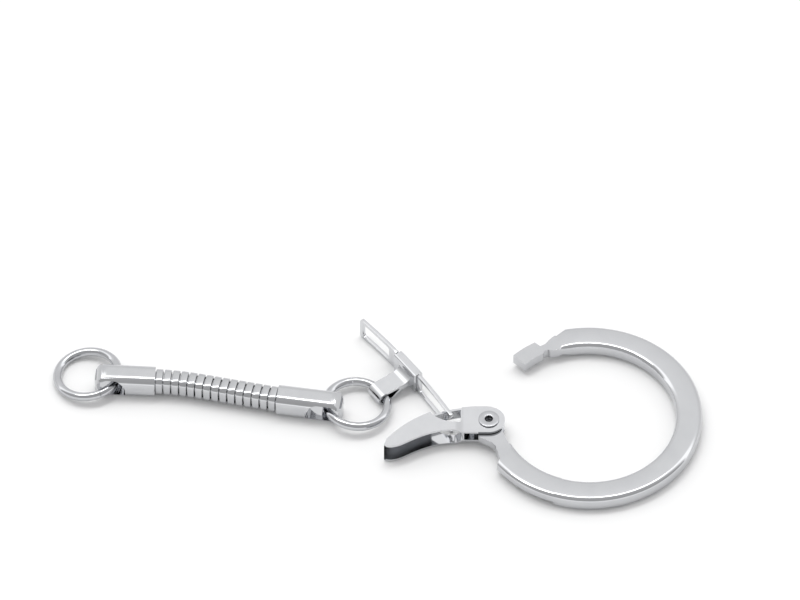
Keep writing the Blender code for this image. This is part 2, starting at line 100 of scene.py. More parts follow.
def standing(outline, low, high):
    """The same with the outline upright, along X and Z, between two values of Y."""
    bm = slab(outline, low, high)
    bmesh.ops.rotate(bm, verts=bm.verts, matrix=Matrix.Rotation(math.pi / 2, 3, "X"))
    bmesh.ops.scale(bm, vec=(1, -1, 1), verts=bm.verts)
    bmesh.ops.recalc_face_normals(bm, faces=bm.faces)
    return bm


blank = slab([(0, 0), (2, 0), (2, 1), (0, 1)], 0, 0.3)
print("a blank has", len(blank.faces), "faces")
blank.free()


# %% Round the edges that a test picks
def round_edges(bm, width, segments, wanted):
    edges = [e for e in bm.edges if len(e.link_faces) == 2 and wanted(e)]
    bmesh.ops.bevel(
        bm, geom=edges, offset=width, offset_type="OFFSET", segments=segments,
        profile=0.5, affect="EDGES", clamp_overlap=True, material=-1,
    )
    return bm


def corner(edge, least=0.6):
    """True where two faces meet at more than this angle, in radians."""
    return edge.calc_face_angle(0) > least


# %% Turn a bmesh into an object, and cut one with another
def shape(bm, name="shape"):
    mesh = bpy.data.meshes.new(name)
    bm.to_mesh(mesh)
    bm.free()
    obj = bpy.data.objects.new(name, mesh)
    bpy.context.scene.collection.objects.link(obj)
    return obj


def combine(obj, bm, operation="DIFFERENCE"):
    """Cuts, joins or intersects with the solid in a bmesh, and keeps the result as the mesh."""
    tool = shape(bm, "tool")
    punch = obj.modifiers.new("punch", "BOOLEAN")
    punch.operation, punch.solver, punch.object = operation, "EXACT", tool
    graph = bpy.context.evaluated_depsgraph_get()
    obj.data = bpy.data.meshes.new_from_object(obj.evaluated_get(graph))
    obj.modifiers.clear()
    bpy.data.objects.remove(tool, do_unlink=True)
    return obj


def clean(obj):
    """A bmesh of the object with its doubles merged and its flat faces whole again."""
    bm = bmesh.new()
    bm.from_mesh(obj.data)
    bmesh.ops.remove_doubles(bm, verts=bm.verts, dist=0.004)
    bmesh.ops.dissolve_limit(bm, angle_limit=0.003, verts=bm.verts, edges=bm.edges)
    return bm


# %% [markdown]
# ## Bright nickel plate
#
# Every piece is pressed steel or drawn wire under bright nickel. Plate is a metal, so
# nearly all it shows is the room around it, and a flat colour would look like plastic.
# Two things tell the eye it is real plate. First, the base under it was never quite flat, so
# reflections swim a little, and the same slow waves shift its tone between two greys.
# Second, tumbling leaves faint short scuffs that change the gloss from place to place. Thin plate
# is also a touch warmer in hollows, which this finish does not show.
# Patterns read Object coordinates, so they stay on the piece in every pose.

# %% Colour and one node helper
def linear(hex_colour):
    """An sRGB hex colour as the linear values that a shader takes."""
    parts = [int(hex_colour[i:i + 2], 16) / 255 for i in (1, 3, 5)]
    return (*[p / 12.92 if p <= 0.04045 else ((p + 0.055) / 1.055) ** 2.4 for p in parts], 1.0)


def add_node(tree, kind, settings=None, inputs=None, links=None):
    """Adds a node, sets its properties and inputs, and links its inputs to other sockets."""
    node = tree.nodes.new(kind)
    for key, value in (settings or {}).items():
        setattr(node, key, value)
    for key, value in (inputs or {}).items():
        node.inputs[key].default_value = value
    for key, socket in (links or {}).items():
        tree.links.new(socket, node.inputs[key])
    return node


print("nickel is", [round(c, 3) for c in linear("#dedfe2")])


# %% The plated finish
def nickel_plate(name, bright, dim, gloss, swim_mm, swim, scuff_mm):
    """Bright nickel: two tones, a gloss range, the width and height of its waves, the scuffs."""
    mat = bpy.data.materials.new(name)
    mat.use_nodes = True
    tree = mat.node_tree
    shader = tree.nodes["Principled BSDF"]
    shader.inputs["Metallic"].default_value = 1.0
    where = add_node(tree, "ShaderNodeTexCoord").outputs["Object"]
    # Slow waves of the base metal, in steps of swim_mm.
    waves = add_node(tree, "ShaderNodeTexNoise", inputs={"Scale": 1000 / swim_mm, "Detail": 2.0,
                     "Roughness": 0.45}, links={"Vector": where})
    # Scuffs: the same noise drawn out along one direction, so that it makes short strokes.
    drawn = add_node(tree, "ShaderNodeMapping", inputs={"Rotation": (0.3, 0.2, 0.7),
                     "Scale": (1.0, 6.0, 3.0)}, links={"Vector": where})
    scuffs = add_node(tree, "ShaderNodeTexNoise", inputs={"Scale": 1000 / scuff_mm, "Detail": 4.0,
                      "Roughness": 0.6}, links={"Vector": drawn.outputs["Vector"]})
    span = {"From Min": 0.3, "From Max": 0.75, "To Min": gloss[0], "To Max": gloss[1]}
    rough = add_node(tree, "ShaderNodeMapRange", inputs=span,
                     links={"Value": scuffs.outputs["Fac"]})
    tone = add_node(tree, "ShaderNodeMix", {"data_type": "RGBA"}, {"A": linear(bright),
                    "B": linear(dim)}, {"Factor": waves.outputs["Fac"]})
    bump = add_node(tree, "ShaderNodeBump", inputs={"Strength": 1.0, "Distance": swim * MM},
                    links={"Height": waves.outputs["Fac"]})
    fine = add_node(tree, "ShaderNodeBump", inputs={"Strength": 1.0, "Distance": 0.0004 * MM},
                    links={"Height": scuffs.outputs["Fac"], "Normal": bump.outputs["Normal"]})
    tree.links.new(tone.outputs["Result"], shader.inputs["Base Color"])
    tree.links.new(rough.outputs["Result"], shader.inputs["Roughness"])
    tree.links.new(fine.outputs["Normal"], shader.inputs["Normal"])
    return mat


# Each row: bright tone, dim tone, gloss range, width of a wave, its height, size of a scuff.
BAND_PLATE, SHEET_PLATE, WIRE_PLATE, CAP_PLATE, LINK_PLATE, RIVET_PLATE = (
    nickel_plate("bright_nickel_on_" + base, *looks) for base, looks in {
        "rolled_band": ("#cbccce", "#c2c3c6", (0.05, 0.10), 2.6, 0.004, 0.9),
        "pressed_sheet": ("#d6d7d9", "#cccdd0", (0.06, 0.13), 1.6, 0.003, 0.6),
        "drawn_wire": ("#c6c7ca", "#babbbe", (0.06, 0.12), 1.2, 0.003, 0.5),
        "deep_drawn_cup": ("#cccdcf", "#c1c2c5", (0.04, 0.10), 1.8, 0.004, 0.7),
        "chain_links": ("#c8c9cb", "#bbbcbf", (0.05, 0.11), 1.0, 0.003, 0.5),
        "rolled_rivet": ("#c3c4c7", "#b6b7ba", (0.08, 0.16), 0.8, 0.003, 0.4),
    }.items()
)
print(len(bpy.data.materials), "materials so far")


# %% [markdown]
# ## Handing a piece over
#
# A finished piece moves from millimetres round the rivet into its real place in metres.
# That place goes into the mesh and not into the object, so that patterns on Object
# coordinates stay put. It then rides on its body and stands for the coarse node.

# %% Place, shade and ride
SHARP = math.radians(38)  # a fold steeper than this is an edge


def hand_over(obj, name, body, plate, edge=0.0, flats=True):
    """Finishes a piece: its place, plate and body, and an outer edge rounded by millimetres."""
    bm = bmesh.new()
    bm.from_mesh(obj.data)
    if bm.calc_volume(signed=True) < 0:
        bmesh.ops.reverse_faces(bm, faces=bm.faces)
    bmesh.ops.scale(bm, vec=(MM, MM, MM), verts=bm.verts)
    bmesh.ops.translate(bm, vec=RIVET_SPOT, verts=bm.verts)
    for face in bm.faces:
        face.smooth = True
    wear = bm.edges.layers.float.new("bevel_weight_edge")
    for e in bm.edges:
        e[wear] = 1.0 if e.is_convex and corner(e, SHARP) else 0.0
    bm.to_mesh(obj.data)
    bm.free()
    obj.name = obj.data.name = name + "_plated"
    obj.data.set_sharp_from_angle(angle=SHARP)
    obj.data.materials.clear()
    obj.data.materials.append(plate)
    if edge:
        worn = obj.modifiers.new("worn_edge", "BEVEL")
        worn.width, worn.segments, worn.limit_method = edge * MM, 3, "WEIGHT"
        worn.harden_normals = True
    if flats:
        even = obj.modifiers.new("flats_stay_flat", "WEIGHTED_NORMAL")
        even.mode, even.keep_sharp = "FACE_AREA", True
    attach(obj, body)
    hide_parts(name)
    print(name, "rides on", body, "with", len(obj.data.polygons), "faces")
    return obj


# %% [markdown]
# ## The split ring's band
#
# The ring is flat band, 3.3 mm wide and 2.15 mm high, rolled into a C with rounded corners.
# It could be a curve with a bevel, but the band also thins towards the catch and ends in
# a block, so it is swept instead: a rectangle with bevelled corners is spun round the
# ring's centre, and then each cross-section is pushed to the width and height it has on
# the real ring at that angle. The mesh stays one clean tube of quads all the way.

# %% The ring's sizes, angle by angle
RING_CENTRE = (12.55, 1.45)
RING_IN, RING_OUT, RING_HIGH = 10.85, 14.15, 2.15
BAND_ROUND = 0.62
SQUARE_FROM = 108  # past this angle the catch has square corners
# angle, inner radius, outer radius, underside, top
BAND_STATIONS = [
    (-153.9, 10.85, 14.15, 0.55, 2.15), (-108.9, 10.85, 14.15, 0.55, 2.15),
    (-108.4, 10.85, 14.15, 0.0, 2.15), (98.0, 10.85, 14.15, 0.0, 2.15),
    (101.6, 10.85, 14.15, 0.1, 2.15), (102.2, 10.85, 14.1, 0.15, 2.15),
    (105.7, 10.9, 13.62, 0.5, 2.15), (109.4, 10.95, 13.15, 0.72, 2.15),
    (113.3, 11.05, 12.75, 0.72, 2.15), (115.0, 11.1, 12.5, 0.72, 2.15),
    (116.5, 11.42, 12.4, 0.72, 2.15), (119.4, 11.45, 12.4, 0.72, 2.15),
    (120.6, 11.15, 13.25, 0.72, 2.15), (135.5, 11.15, 13.25, 0.72, 2.15),
]


def band_at(angle):
    """Inner and outer radius, underside and top of the band at an angle."""
    for a, b in zip(BAND_STATIONS, BAND_STATIONS[1:]):
        if angle <= b[0]:
            t = (angle - a[0]) / (b[0] - a[0])
            return [p + (q - p) * t for p, q in zip(a[1:], b[1:])]
    return BAND_STATIONS[-1][1:]


turns = {s[0] for s in BAND_STATIONS}
steady = (BAND_STATIONS[0][0] + 1.2 * i for i in range(241))
turns |= {a for a in steady if min(abs(a - s) for s in turns) > 0.4}
turns = sorted(turns)
print("the band has", len(turns), "cross-sections")

# %% Sweep the section and push each cross-section to its size
bm = bmesh.new()
section = bmesh.ops.create_grid(bm, x_segments=1, y_segments=1, size=0.5)["verts"]
bmesh.ops.scale(bm, vec=(RING_OUT - RING_IN, RING_HIGH, 1), verts=section)
bmesh.ops.bevel(
    bm, geom=section, offset=BAND_ROUND, offset_type="OFFSET", segments=10, profile=0.5,
    affect="VERTICES", clamp_overlap=True, material=-1,
)
bmesh.ops.rotate(bm, verts=bm.verts, matrix=Matrix.Rotation(math.pi / 2, 3, "X"))
bmesh.ops.translate(bm, vec=((RING_IN + RING_OUT) / 2, 0, RING_HIGH / 2), verts=bm.verts)
bmesh.ops.rotate(bm, verts=bm.verts, matrix=Matrix.Rotation(math.radians(turns[0]), 3, "Z"))
span = turns[-1] - turns[0]
bmesh.ops.spin(
    bm, geom=bm.faces[:] + bm.edges[:] + bm.verts[:], cent=(0, 0, 0), axis=(0, 0, 1),
    angle=math.radians(span), steps=len(turns) - 1, use_merge=False, use_duplicate=False,
)
for v in bm.verts:
    step = round((math.degrees(math.atan2(v.co.y, v.co.x)) - turns[0]) / span * (len(turns) - 1))
    inner, outer, under, top = band_at(turns[step])
    across, up = (v.co.xy.length - RING_IN) / (RING_OUT - RING_IN), v.co.z / RING_HIGH
    if turns[step] > SQUARE_FROM:
        across, up = (min(max(0.5 + (share - 0.5) * 1.3, 0), 1) for share in (across, up))
    spot = on_circle(RING_CENTRE, inner + (outer - inner) * across, turns[step])
    v.co = (*spot, under + (top - under) * up)
bmesh.ops.recalc_face_normals(bm, faces=bm.faces)
band = shape(bm, "band")
print("band faces:", len(band.data.polygons))

# %% [markdown]
# ## The tongue at the pivot
#
# At its pivot end the band is milled down to a thin tongue with a round eye, and that eye
# sits between the lever's two lobes on the rivet. It is a slab with a rounded outline,
# joined to the band's end.

# %% The tongue, joined to the band
TONGUE_LOW, TONGUE_IN, EYE_OUT, EYE_BORE = 1.07, 11.2, 1.85, 0.87
tongue = arc(RING_CENTRE, TONGUE_IN, 210, 188.5, 16) + [(1.35, -0.25)]
tongue += arc((0, 0), EYE_OUT, 12, 205, 40)
tongue += [(-1.3, -2.35), (0.35, -3.3), (0.8, -3.85), (1.05, -4.6), (1.3, -5.8)]
# What is milled away outside the tongue, where the gate's foot passes.
away = [(-3, -2.9), (0.35, -3.4), (1.1, -4.7), (1.35, -5.9), (0.95, -6.9), (0.0, -8.2), (-4, -8)]
combine(band, slab(away[::-1], -1, 5))
combine(band, slab(tongue, TONGUE_LOW, RING_HIGH), "UNION")
combine(band, slab(arc((0, 0), EYE_BORE, 0, 360, 64)[:-1], -1, 5))
ring_body = hand_over(band, "split_ring_body", "ring", BAND_PLATE, edge=0.09, flats=False)

# %% [markdown]
# ## The hollow rivet
#
# The pivot is a short tube rolled over at both ends, so the eye of the clasp shows a
# round-lipped hole. Its half profile is spun a full turn; the rolled lips are bevelled
# on the profile's corners first, which is much easier than on the finished solid.

# %% Spin the rivet
BORE, SHANK, FLANGE = 0.5, 0.85, 1.3
RIVET_LOW, RIVET_HIGH, LIP, LIP_ROUND = 0.5, 2.8, 0.18, 0.085
profile = [
    (BORE, RIVET_LOW), (FLANGE, RIVET_LOW), (FLANGE, RIVET_LOW + LIP), (SHANK, RIVET_LOW + LIP),
    (SHANK, RIVET_HIGH - LIP), (FLANGE, RIVET_HIGH - LIP), (FLANGE, RIVET_HIGH), (BORE, RIVET_HIGH),
]
bm = bmesh.new()
bm.faces.new([bm.verts.new((r, 0, z)) for r, z in profile])
bmesh.ops.bevel(
    bm, geom=[v for v in bm.verts if abs(v.co.x - SHANK) > 0.01], offset=LIP_ROUND,
    offset_type="OFFSET", segments=4, profile=0.5, affect="VERTICES", clamp_overlap=True,
    material=-1,
)
rim = bm.edges[:]
bmesh.ops.delete(bm, geom=bm.faces[:], context="FACES_ONLY")
bmesh.ops.spin(
    bm, geom=rim, cent=(0, 0, 0), axis=(0, 0, 1), angle=math.tau, steps=96,
    use_merge=True, use_duplicate=False,
)
bmesh.ops.remove_doubles(bm, verts=bm.verts, dist=1e-5)
bmesh.ops.recalc_face_normals(bm, faces=bm.faces)
hand_over(shape(bm), "pivot_rivet", "ring", RIVET_PLATE)

# %% [markdown]
# ## The lever
#
# One blank of 0.3 mm sheet, folded along its far side into a channel: two curved leaves
# with a web between them, which step together towards the lobes. The grip's far side
# follows the ring when the clasp is shut. A solid with a rounded fold, hollowed out from
# the near side, gives an even sheet and the true fold radius in one go.

# %% Sizes of the lever
SHEET, FOLD_ROUND = 0.3, 0.42
LEVER_LOW, LEVER_HIGH = 0.15, 3.15
LEVER_MID = (LEVER_LOW + LEVER_HIGH) / 2
LOBE_OUT, LOBE_BORE = 2.02, 0.9
GRIP_CENTRE, GRIP_RADIUS = (-1.1, -12.6), 14.75
NEAR_SIDE = [
    (-13.1, -4.55), (-12.65, -4.72), (-12.2, -4.75), (-11.5, -4.6), (-10.9, -4.35), (-10.3, -4.0),
    (-9.7, -3.65), (-9.05, -3.3), (-8.4, -2.98), (-7.8, -2.73), (-7.2, -2.5), (-6.55, -2.32),
    (-5.9, -2.16), (-5.2, -2.06), (-4.5, -2.0), (-3.0, -2.0), (-1.5, -2.02),
]
lobe = arc((0, 0), LOBE_OUT, 268, 422, 48)
far_side = arc(GRIP_CENTRE, GRIP_RADIUS, 84.5, 142.5, 100)
print("the lever's outline has", len(lobe) + len(far_side) + len(NEAR_SIDE), "points")


# %% Fold it: round the far edges, then hollow the channel
def along_far_side(edge, radius):
    """True for the flat edges that run along the fold."""
    level = abs(edge.verts[0].co.z - edge.verts[1].co.z) < 1e-4
    return level and corner(edge) and all(
        abs((v.co.xy - Vector(GRIP_CENTRE)).length - radius) < 0.02 and v.co.x < -2.2
        for v in edge.verts
    )


blank = slab(lobe + far_side + NEAR_SIDE, LEVER_LOW, LEVER_HIGH)
round_edges(blank, FOLD_ROUND, 5, lambda e: along_far_side(e, GRIP_RADIUS))
lever = shape(blank, "lever")
room = arc(GRIP_CENTRE, GRIP_RADIUS - SHEET, 40, 148, 130) + [(-16, -6.5), (-16, -14), (9.9, -14)]
between_lobes = [(-2.35, 4), (-2.35, -4), (4, -4), (4, 4)]
for outline in (room, between_lobes):
    combine(lever, slab(outline, LEVER_LOW + SHEET, LEVER_HIGH - SHEET))
combine(lever, slab(arc((0, 0), LOBE_BORE, 0, 360, 64)[:-1], -1, 5))
print("folded:", len(lever.data.polygons), "faces")

# %% Step the leaves together, and punch the holes across the folds
STEP_FROM, STEP_TO, STEP_IN = -4.3, -3.1, 0.57
bm = clean(lever)
for x in (STEP_FROM + (STEP_TO - STEP_FROM) * i / 14 for i in range(15)):
    bmesh.ops.bisect_plane(
        bm, geom=bm.verts[:] + bm.edges[:] + bm.faces[:], plane_co=(x, 0, 0), plane_no=(1, 0, 0)
    )
for v in bm.verts:
    t = min(max((v.co.x - STEP_FROM) / (STEP_TO - STEP_FROM), 0), 1)
    v.co.z -= math.copysign(STEP_IN, v.co.z - LEVER_MID) * t * t * (3 - 2 * t)
bmesh.ops.triangulate(bm, faces=[f for f in bm.faces if len(f.verts) > 4])
bm.to_mesh(lever.data)
bm.free()
hole = [
    (-3.35, 4.0), (-7.3, 4.0), (-7.3, 0.8), (-7.05, 0.4), (-6.7, 0.1), (-6.35, -0.18),
    (-5.95, -0.4), (-5.5, -0.58), (-5.0, -0.72), (-4.5, -0.77), (-4.1, -0.75), (-3.8, -0.66),
    (-3.55, -0.5), (-3.4, -0.2), (-3.35, 0.1),
]
for low, high in ((-1.0, 0.87), (2.43, 5.0)):  # through both folds, but not the web between
    combine(lever, slab(hole, low, high))
hand_over(lever, "clasp_lever", "lever", SHEET_PLATE, edge=0.05)

# %% [markdown]
# ## The gate
#
# A flat link on edge, with a long slot at each end, and bent into a gentle bow. Flat work
# first and bending last is how it is pressed, and it is also how it is modelled: slots
# are cut in a straight strip, edges are rounded, the strip is sliced into short lengths
# and only then is each point moved onto the bow.

# %% The bow that the gate and its clip follow
GATE_PIVOT, GATE_ROOT, GATE_BEND = (-4.85, 0.45), 119.9, 0.6316
GATE_TAIL, GATE_TIP, GATE_HIGH, GATE_HALF = -0.55, 19.0, 3.3, 0.225


def on_bow(s, side=0.0):
    """The plan point a distance along the bow, and beside it."""
    root, bend = math.radians(GATE_ROOT), math.radians(GATE_BEND)
    t = root + bend * s + math.pi / 2
    x = GATE_PIVOT[0] + (math.sin(root + bend * s) - math.sin(root)) / bend
    y = GATE_PIVOT[1] - (math.cos(root + bend * s) - math.cos(root)) / bend
    return x + side * math.cos(t), y + side * math.sin(t)


def bow(obj, start, end):
    """Slices a straight piece into short lengths and moves it onto the bow."""
    bm = clean(obj)
    s = start
    while s < end:
        bmesh.ops.bisect_plane(
            bm, geom=bm.verts[:] + bm.edges[:] + bm.faces[:], plane_co=(s, 0, 0), plane_no=(1, 0, 0)
        )
        s += 0.8
    for v in bm.verts:
        v.co.x, v.co.y = on_bow(v.co.x, v.co.y)
    bm.to_mesh(obj.data)
    bm.free()
    return obj


print("gate tip at", [round(c, 2) for c in on_bow(GATE_TIP)])


# %% Cut the gate flat, then bow it
def long_hole(s0, s1, low, high, radius, steps=8):
    """A rounded rectangle, as points along and up."""
    points = []
    for s, z, first in ((s1 - radius, high - radius, 0), (s0 + radius, high - radius, 90),
                        (s0 + radius, low + radius, 180), (s1 - radius, low + radius, 270)):
        points += arc((s, z), radius, first, first + 90, steps)
    return points


strip = long_hole(GATE_TAIL, GATE_TIP, 0.0, GATE_HIGH, 0.4)
cuts = {
    "lower slot": long_hole(0.3, 7.1, 0.43, 2.87, 0.3),
    "open foot": [(-3, 1.0), (1, 1.0), (1, 2.3), (-3, 2.3)],
    "prong tips": [(-3, 0.43), (-0.3, 0.43), (-0.3, 2.87), (-3, 2.87)],
    "upper slot": long_hole(13.3, 18.45, 0.52, 2.78, 0.35),
    "waist below": [(7.3, -1), (11.9, -1), (11.9, 0.42), (7.3, 0.42)],
    "waist above": [(7.3, 2.88), (11.9, 2.88), (11.9, 5), (7.3, 5)],
}
gate = shape(standing(strip, -GATE_HALF, GATE_HALF), "gate")
for outline in cuts.values():
    combine(gate, standing(outline, -3, 3))
bm = clean(gate)
round_edges(bm, 0.06, 3, corner)
bm.to_mesh(gate.data)
bm.free()
hand_over(bow(gate, -1.0, 20.0), "gate_link", "gate", SHEET_PLATE)

# %% [markdown]
# ## The connector clip
#
# A sleeve crimped round the gate's waist, with a leaf that runs out, turns down round the
# jump ring's wire and comes back under itself. In profile it is one outline with a
# keyhole in it, so it is an outline extruded across the leaf's width, and the sleeve is a
# rounded block joined to it.

# %% Sleeve, leaf and keyhole
FOLD_AT, FOLD_HIGH, FOLD_OUT, WIRE_ROOM = 4.3, 0.97, 0.95, 0.64


def across(outline, low, high):
    """A slab whose outline is beside the gate and up, between two places along it."""
    bm = slab(outline, low, high)
    turn = Matrix(((0, 0, 1), (1, 0, 0), (0, 1, 0)))
    bmesh.ops.transform(bm, matrix=turn.to_4x4(), verts=bm.verts)
    bmesh.ops.recalc_face_normals(bm, faces=bm.faces)
    return bm


SLEEVE_FROM, SLEEVE_TO, SLEEVE_HALF = 7.42, 11.78, 0.62
LEAF_FROM, LEAF_TO = 8.05, 10.55


def strip_along(start, end, half):
    """The plan outline of a straight strip along the gate."""
    return [(start, -half), (end, -half), (end, half), (start, half)]


sleeve = slab(strip_along(SLEEVE_FROM, SLEEVE_TO, SLEEVE_HALF), 0.02, 3.28)
round_edges(sleeve, 0.25, 5, lambda e: abs(e.verts[0].co.x - e.verts[1].co.x) > 1)
clip = shape(sleeve, "clip")
out, leaf_top, leaf_low = FOLD_AT + 0.33, FOLD_HIGH + FOLD_OUT, FOLD_HIGH - FOLD_OUT
outline = [(0.3, 3.2), (0.45, 3.2)] + arc((1.75, leaf_top + 1.2), 1.2, 180, 270, 16)
outline += arc((out, FOLD_HIGH), FOLD_OUT, 90, -90, 32)
outline += [(FOLD_AT - 0.3, leaf_low), (2.1, 1.1), (1.3, 1.15), (0.45, 0.6), (0.3, 0.6)]
combine(clip, across(outline[::-1], LEAF_FROM, LEAF_TO), "UNION")
keyhole = arc((out, FOLD_HIGH), WIRE_ROOM, 90, -90, 28)
keyhole += arc((FOLD_AT - 0.1, FOLD_HIGH), WIRE_ROOM, -90, -125, 8) + [(2.45, 1.42), (2.45, 1.56)]
keyhole += arc((FOLD_AT - 0.1, FOLD_HIGH), WIRE_ROOM, 112, 90, 6)
combine(clip, across(keyhole, 7.0, 12.2))
combine(clip, slab(strip_along(6.4, 12.8, 0.27), 0.38, 2.92))  # room for the gate's waist
hand_over(bow(clip, 6.5, 12.5), "connector_clip", "gate", SHEET_PLATE, edge=0.06)

# %% [markdown]
# ## The jump rings
#
# Each jump ring is 1.1 mm wire bent into a circle and left with a fine gap where its ends
# meet. A wire's section spun almost a full turn is exactly that, ends included. The rings
# lean a little, because each one climbs from the table through a hole.

# %% Bend and lean a jump ring
WIRE, RING_TURN = 0.55, 3.83


def jump_ring(gap_at, lean, towards, through):
    """A ring of wire leaning about the point where it passes through its neighbour."""
    bm = bmesh.new()
    disc = bmesh.ops.create_circle(bm, cap_ends=True, radius=WIRE, segments=28)["verts"]
    bmesh.ops.rotate(bm, verts=disc, matrix=Matrix.Rotation(math.pi / 2, 3, "X"))
    bmesh.ops.translate(bm, vec=(RING_TURN, 0, 0), verts=disc)
    bmesh.ops.rotate(bm, verts=disc, matrix=Matrix.Rotation(math.radians(gap_at), 3, "Z"))
    bmesh.ops.spin(
        bm, geom=bm.faces[:] + bm.edges[:] + bm.verts[:], cent=(0, 0, 0), axis=(0, 0, 1),
        angle=math.tau - math.radians(1.2), steps=150, use_merge=False, use_duplicate=False,
    )
    bmesh.ops.recalc_face_normals(bm, faces=bm.faces)
    centre = Vector((*on_circle(through, RING_TURN, towards + 180), through.z))
    t = math.radians(towards + 90)
    tip = Matrix.Rotation(math.radians(lean), 4, Vector((math.cos(t), math.sin(t), 0)))
    tip = Matrix.Translation(through) @ tip @ Matrix.Translation(centre - through)
    bmesh.ops.transform(bm, matrix=tip, verts=bm.verts)
    return shape(bm)


INNER_CENTRE, OUTER_CENTRE = (-16.55, 3.5), (-50.25, 8.6)
fold = Vector((*on_bow(9.6, FOLD_AT), FOLD_HIGH))
bearing = math.degrees(math.atan2(fold.y - INNER_CENTRE[1], fold.x - INNER_CENTRE[0]))
inner_ring = jump_ring(100, 4.9, bearing, fold)
hand_over(inner_ring, "jump_ring_inner", "inner_jump_ring", WIRE_PLATE)
OUTER_BEARING = -26.0
eye = Vector((*on_circle(OUTER_CENTRE, RING_TURN, OUTER_BEARING), 1.53))
outer_ring = jump_ring(-66, -7.2, OUTER_BEARING, eye)
hand_over(outer_ring, "jump_ring_outer", "outer_jump_ring", WIRE_PLATE)

# %% [markdown]
# ## The end caps
#
# The chain's two caps are deep-drawn cups with a square section and round corners. The
# closed end curls over, and a round window from side to side lets the jump ring through.
# A bar with bevelled long edges is cut to that side profile, then windowed and bored.

# %% Bars with a rounded square section
CHAIN_HIGH = 1.63
CAP_SIDE, CAP_ROUND, NOSE_ROUND = 3.25, 1.05, 1.4
LINK_SIDE, LINK_ROUND, LINK_LONG = 2.75, 0.85, 0.9
COLLAR, SOCKET, THROAT = (1.96, 0.6), (2.26, 0.65), (1.2, 0.4)  # side and corner radius


def square_bar(side, x0, x1, radius, segments=8):
    """A bar along X with a rounded square section, centred on the X axis."""
    bm = bmesh.new()
    bmesh.ops.create_cube(bm, size=1.0)
    bmesh.ops.scale(bm, vec=(x1 - x0, side, side), verts=bm.verts)
    bmesh.ops.translate(bm, vec=((x0 + x1) / 2, 0, 0), verts=bm.verts)
    return round_edges(bm, radius, segments, runs_along)


def runs_along(edge):
    """True for an edge that goes along X."""
    return abs(edge.verts[0].co.x - edge.verts[1].co.x) > 1e-3


def set_down(obj, x, y, degrees):
    """Turns a piece made along X and puts its start on the chain's line."""
    place = Matrix.Translation((x, y, CHAIN_HIGH)) @ Matrix.Rotation(math.radians(degrees), 4, "Z")
    obj.data.transform(place)
    return obj


bar = square_bar(CAP_SIDE, 0, 8, CAP_ROUND)
print("a bar has", len(bar.faces), "faces")
bar.free()


# %% Draw, window and bore a cap
def end_cap(long, collar):
    """A cap along X: its nose rounded in plan and in profile, an arched window, a throat."""
    half, bend = CAP_SIDE / 2, long - 1.5
    obj = shape(square_bar(CAP_SIDE, 0, long, CAP_ROUND, 12))
    plan = [(-1, -2), (bend, -2), (bend, -half - 0.001)]
    plan += arc((bend, -half + NOSE_ROUND), NOSE_ROUND, -90, 0, 16)[1:]
    plan += arc((bend, half - NOSE_ROUND), NOSE_ROUND, 0, 90, 16)[:-1]
    plan += [(bend, half + 0.001), (bend, 2), (-1, 2)]
    combine(obj, slab(plan, -3, 3), "INTERSECT")
    nose = [(-1, -3), (long - 0.9, -3), (long - 0.6, -half - 0.05), (long - 0.35, -half + 0.1),
            (long - 0.1, -half + 0.32), (long, -half + 0.6)]
    nose += arc((long - 1.7, half - 1.7), 1.7, 0, 90, 24) + [(-1, half + 0.001)]
    combine(obj, standing(nose, -5, 5), "INTERSECT")
    near, far = 3.7, long - 0.42
    window = [(near, -half + 0.45), (near + 0.2, -half + 0.4), (far - 0.3, -half + 0.4)]
    window += arc((far - 1.3, half - 1.65), 1.3, 0, 90, 24)
    window += arc((near + 1.5, half - 1.85), 1.5, 90, 180, 24)
    combine(obj, standing(window, -5, 5))
    if collar:
        combine(obj, square_bar(COLLAR[0], -0.64, 0.3, COLLAR[1], 6), "UNION")
    else:
        combine(obj, square_bar(SOCKET[0], -2, 0.72, SOCKET[1], 6))
    combine(obj, square_bar(THROAT[0], -2, 2.6, THROAT[1], 4))
    return obj


CHAIN_START = Vector((-26.4, 4.0))
inner = set_down(end_cap(8.4, True), *CHAIN_START, -9.0)
hand_over(inner, "end_cap_inner", "inner_cap", CAP_PLATE, edge=0.14)

# %% [markdown]
# ## The snake chain
#
# Fifteen short links, each a rounded square ring with a smaller collar that plugs into
# the next one's socket. From outside the chain reads as bright bands with thin dark
# grooves, so the round shoulders of each band matter most. The links are worked out along
# a line that bends a little at each of the last few.

# %% One link, and its place along the run
LINKS, PITCH, PLAY = 15, 1.042, 0.07
RUN, RUN_BEND, BENDS_AFTER = 167.6, 1.6, 9  # degrees, degrees a link, links that lie straight


def chain_link():
    """A band with a collar at its far end and a socket at its near one."""
    bm = square_bar(LINK_SIDE, 0, LINK_LONG, LINK_ROUND, 10)
    round_edges(bm, 0.12, 3, lambda e: abs(e.verts[0].co.x - e.verts[1].co.x) < 1e-4 and corner(e))
    obj = shape(bm)
    combine(obj, square_bar(COLLAR[0], 0.6, 1.52, COLLAR[1], 5), "UNION")
    combine(obj, square_bar(SOCKET[0], -1, 0.62, SOCKET[1], 5))
    combine(obj, square_bar(THROAT[0], -1, 3, THROAT[1], 4))
    return obj


at = CHAIN_START.copy()
for i in range(LINKS):
    degrees = RUN + RUN_BEND * max(0, i - BENDS_AFTER)
    along = Vector((math.cos(math.radians(degrees)), math.sin(math.radians(degrees))))
    link = set_down(chain_link(), *(at + along * PLAY), degrees)
    hand_over(link, f"chain_link_{i + 1:02d}", f"link_{i + 1:02d}", LINK_PLATE)
    at += along * PITCH
outer = set_down(end_cap(7.7, False), *at, 176.5)
hand_over(outer, "end_cap_outer", "outer_cap", CAP_PLATE, edge=0.14)

# %% [markdown]
# ## The table and the room
#
# Plated metal shows its room, so the room is part of its finish. The sky is a soft tent:
# grey behind, bright high up behind, dark where the viewer stands and bright again low
# in front. The table is plain and almost white.

